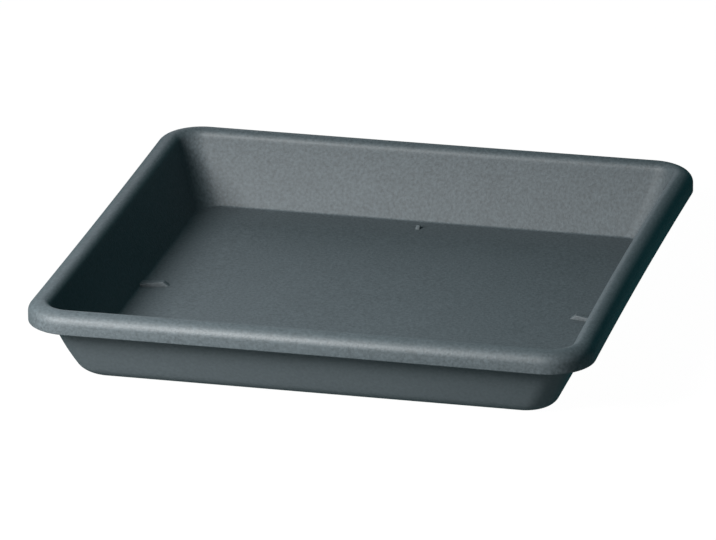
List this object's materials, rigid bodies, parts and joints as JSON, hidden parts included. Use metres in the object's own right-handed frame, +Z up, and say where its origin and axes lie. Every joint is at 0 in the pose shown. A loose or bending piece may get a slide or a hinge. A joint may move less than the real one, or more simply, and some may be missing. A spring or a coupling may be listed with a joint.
{
  "type": "plant saucer",
  "caption": "Shallow square plant saucer with rounded corners, flared walls, a rolled rim open underneath and low spacers on its floor.",
  "frame": {"origin": "centre of the plane that the foot ring stands on", "axes": "+Z up; the sides run along X and Y; the front side faces -Y"},
  "size_m": [0.38, 0.38, 0.055],
  "materials": {
    "saucer": "fine moulded grain, satin"
  },
  "bodies": {
    "root": {"saucer": "saucer"}
  },
  "joints": []
}
